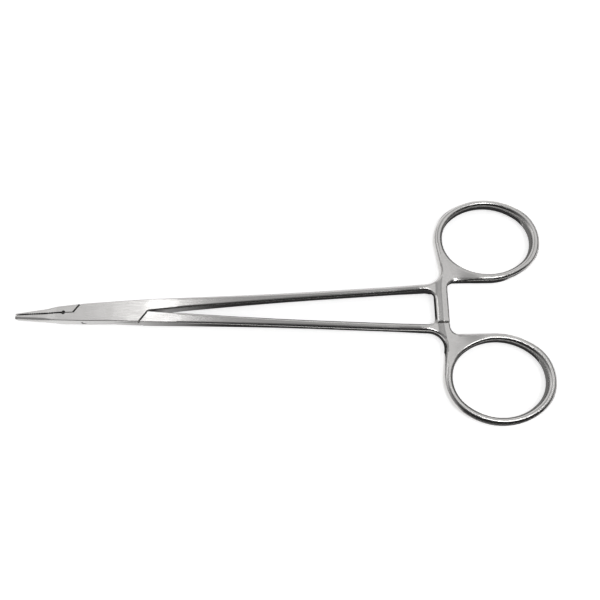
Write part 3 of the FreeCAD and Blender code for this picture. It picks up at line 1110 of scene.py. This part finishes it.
class NEEDLEHOLDER_OT_studio(bpy.types.Operator):
    """Makes the floor, the backdrop, the soft lights and the camera."""

    bl_idname = "needleholder.studio"
    bl_label = "Make Studio"

    def execute(self, context):
        studio = context.scene.needleholder_studio
        scene = context.scene
        scene.view_settings.view_transform = "Standard"
        self.make_world(scene, studio)
        self.make_floor(studio)
        middle = Vector(studio.camera_target)
        area_light("key_light", (-0.120, 0.176, 0.59), middle, (0.07, 0.07), studio.key_power)
        area_light("fill_light", (0.225, -0.070, 0.42), middle, (0.14, 0.07), studio.fill_power)
        self.make_cards()
        self.make_camera(scene, studio)
        return {"FINISHED"}

    def make_cards(self):
        """A soft ceiling, brightest past both ends of the object, and darker cards around and below it."""
        left, right, front, back, ceiling = -0.50, 0.62, -0.40, 0.70, 0.62
        front_top = 0.03

        def level(x_low, x_high, y_low, y_high, z):
            return [(x_low, y_low, z), (x_low, y_high, z), (x_high, y_high, z), (x_high, y_low, z)]

        card("ceiling_card", level(left, right, front_top, back, ceiling), (0.88, 0.42), (-0.19, 0.02))
        card("ring_card", level(0.12, 0.60, front_top, 0.45, ceiling - 0.02), (0.42, 0.92), (0.12, 0.22))
        middle_y, middle_z = (front + front_top) / 2, ceiling / 2
        low = [(left, front, 0), (left, middle_y, middle_z), (right, middle_y, middle_z), (right, front, 0)]
        high = [
            (left, middle_y, middle_z),
            (left, front_top, ceiling),
            (right, front_top, ceiling),
            (right, middle_y, middle_z),
        ]
        card("low_front_card", low, (0.35, 0.03), (-0.25, -0.05))
        card("high_front_card", high, (0.35, 0.13), (-0.25, -0.05))
        left_corners = [(left, front, 0), (left, back, 0), (left, back, 0.3), (left, front, 0.3)]
        card("left_card", left_corners, (0.45, 0.45))
        right_corners = [(right, front, 0), (right, front, 0.4), (right, back, 0.4), (right, back, 0)]
        card("right_card", right_corners, (0.15, 0.15))
        # Dark cards on the floor, seen by the upright sides alone: a dark card in front of the whole object,
        # and painted shade of the floor under the shanks, in both openings, where the back of each is
        # darkest, and just in front of each ring.
        under = (
            (-0.035, 0.600, -0.4000, -0.0460, 0.05),
            (-0.035, 0.100, -0.0130, 0.0100, 0.04),
            (0.099, 0.135, 0.0265, 0.0360, 0.04),
            (0.100, 0.135, 0.0150, 0.0264, 0.22),
            (0.101, 0.135, 0.0000, 0.0085, 0.04),
            (0.101, 0.135, -0.0170, -0.0080, 0.04),
            (0.100, 0.135, -0.0290, -0.0171, 0.22),
            (0.094, 0.135, -0.0450, -0.0352, 0.10),
        )
        for number, (x_low, x_high, y_low, y_high, grey) in enumerate(under):
            corners = level(x_low, x_high, y_low, y_high, 0.02 * MM)
            card(f"flag_and_shade_card_{number}", corners, (1.0, grey), (-0.012, 0.035))

    def make_world(self, scene, studio):
        """A white surround that gives less light than the camera sees."""
        scene.world = bpy.data.worlds.new("white_studio")
        wires = empty_wiring(scene.world)
        given_light = 0.45
        strength = seen_white(wires, given_light, studio.backdrop_strength)
        background = wires.add("ShaderNodeBackground", {"Color": (1.0, 1.0, 1.0, 1.0), "Strength": strength})
        wires.add("ShaderNodeOutputWorld", {"Surface": background.outputs["Background"]})

    def make_floor(self, studio):
        """A plain floor, brought up to white where the camera or a reflection sees it."""
        reach = 1.5
        seen_glow = 0.62
        corners = [(-reach, -reach, 0), (reach, -reach, 0), (reach, reach, 0), (-reach, reach, 0)]
        floor, wires = flat_piece("floor", corners, "plain_floor")
        matt = wires.add("ShaderNodeBsdfDiffuse", {"Color": list(studio.floor_colour) + [1.0]})
        glow = wires.add("ShaderNodeEmission", {"Strength": seen_white(wires, 0.0, seen_glow)})
        both = wires.add("ShaderNodeAddShader", {0: matt.outputs["BSDF"], 1: glow.outputs["Emission"]})
        wires.add("ShaderNodeOutputMaterial", {"Surface": both.outputs["Shader"]})

    def make_camera(self, scene, studio):
        """The camera of the photograph, turned about its target."""
        lens = bpy.data.cameras.new("camera")
        lens.sensor_width = 36.0
        lens.lens = studio.camera_lens
        lens.clip_start = 0.005
        camera = bpy.data.objects.new("camera", lens)
        turn = Matrix.Rotation(studio.camera_azimuth, 4, "Z")
        turn = turn @ Matrix.Rotation(studio.camera_tilt, 4, "X")
        turn = turn @ Matrix.Rotation(studio.camera_roll, 4, "Z")
        camera.matrix_world = (
            Matrix.Translation(studio.camera_target)
            @ turn
            @ Matrix.Translation((0, 0, studio.camera_distance))
        )
        scene.collection.objects.link(camera)
        scene.camera = camera


class NEEDLEHOLDER_PT_panel(bpy.types.Panel):
    """Lists the steps that build the needle holder."""

    bl_label = "Needle Holder"
    bl_idname = "NEEDLEHOLDER_PT_panel"
    bl_space_type = "VIEW_3D"
    bl_region_type = "UI"
    bl_category = "Needle Holder"

    def draw(self, context):
        column = self.layout.column(align=True)
        for step in STEPS:
            column.operator(step.bl_idname)


STEPS = (NEEDLEHOLDER_OT_halves, NEEDLEHOLDER_OT_pivot_pin, NEEDLEHOLDER_OT_studio)
CLASSES = (SteelFinish, ForgingShape, StudioLight) + STEPS + (NEEDLEHOLDER_PT_panel,)


def register():
    for item in CLASSES:
        bpy.utils.register_class(item)
    bpy.types.Scene.needleholder_steel = bpy.props.PointerProperty(type=SteelFinish)
    bpy.types.Scene.needleholder_shape = bpy.props.PointerProperty(type=ForgingShape)
    bpy.types.Scene.needleholder_studio = bpy.props.PointerProperty(type=StudioLight)


def unregister():
    del bpy.types.Scene.needleholder_studio
    del bpy.types.Scene.needleholder_shape
    del bpy.types.Scene.needleholder_steel
    for item in reversed(CLASSES):
        bpy.utils.unregister_class(item)


def main():
    register()
    bpy.ops.needleholder.halves()
    bpy.ops.needleholder.pivot_pin()
    bpy.ops.needleholder.studio()


if __name__ == "__main__":
    main()
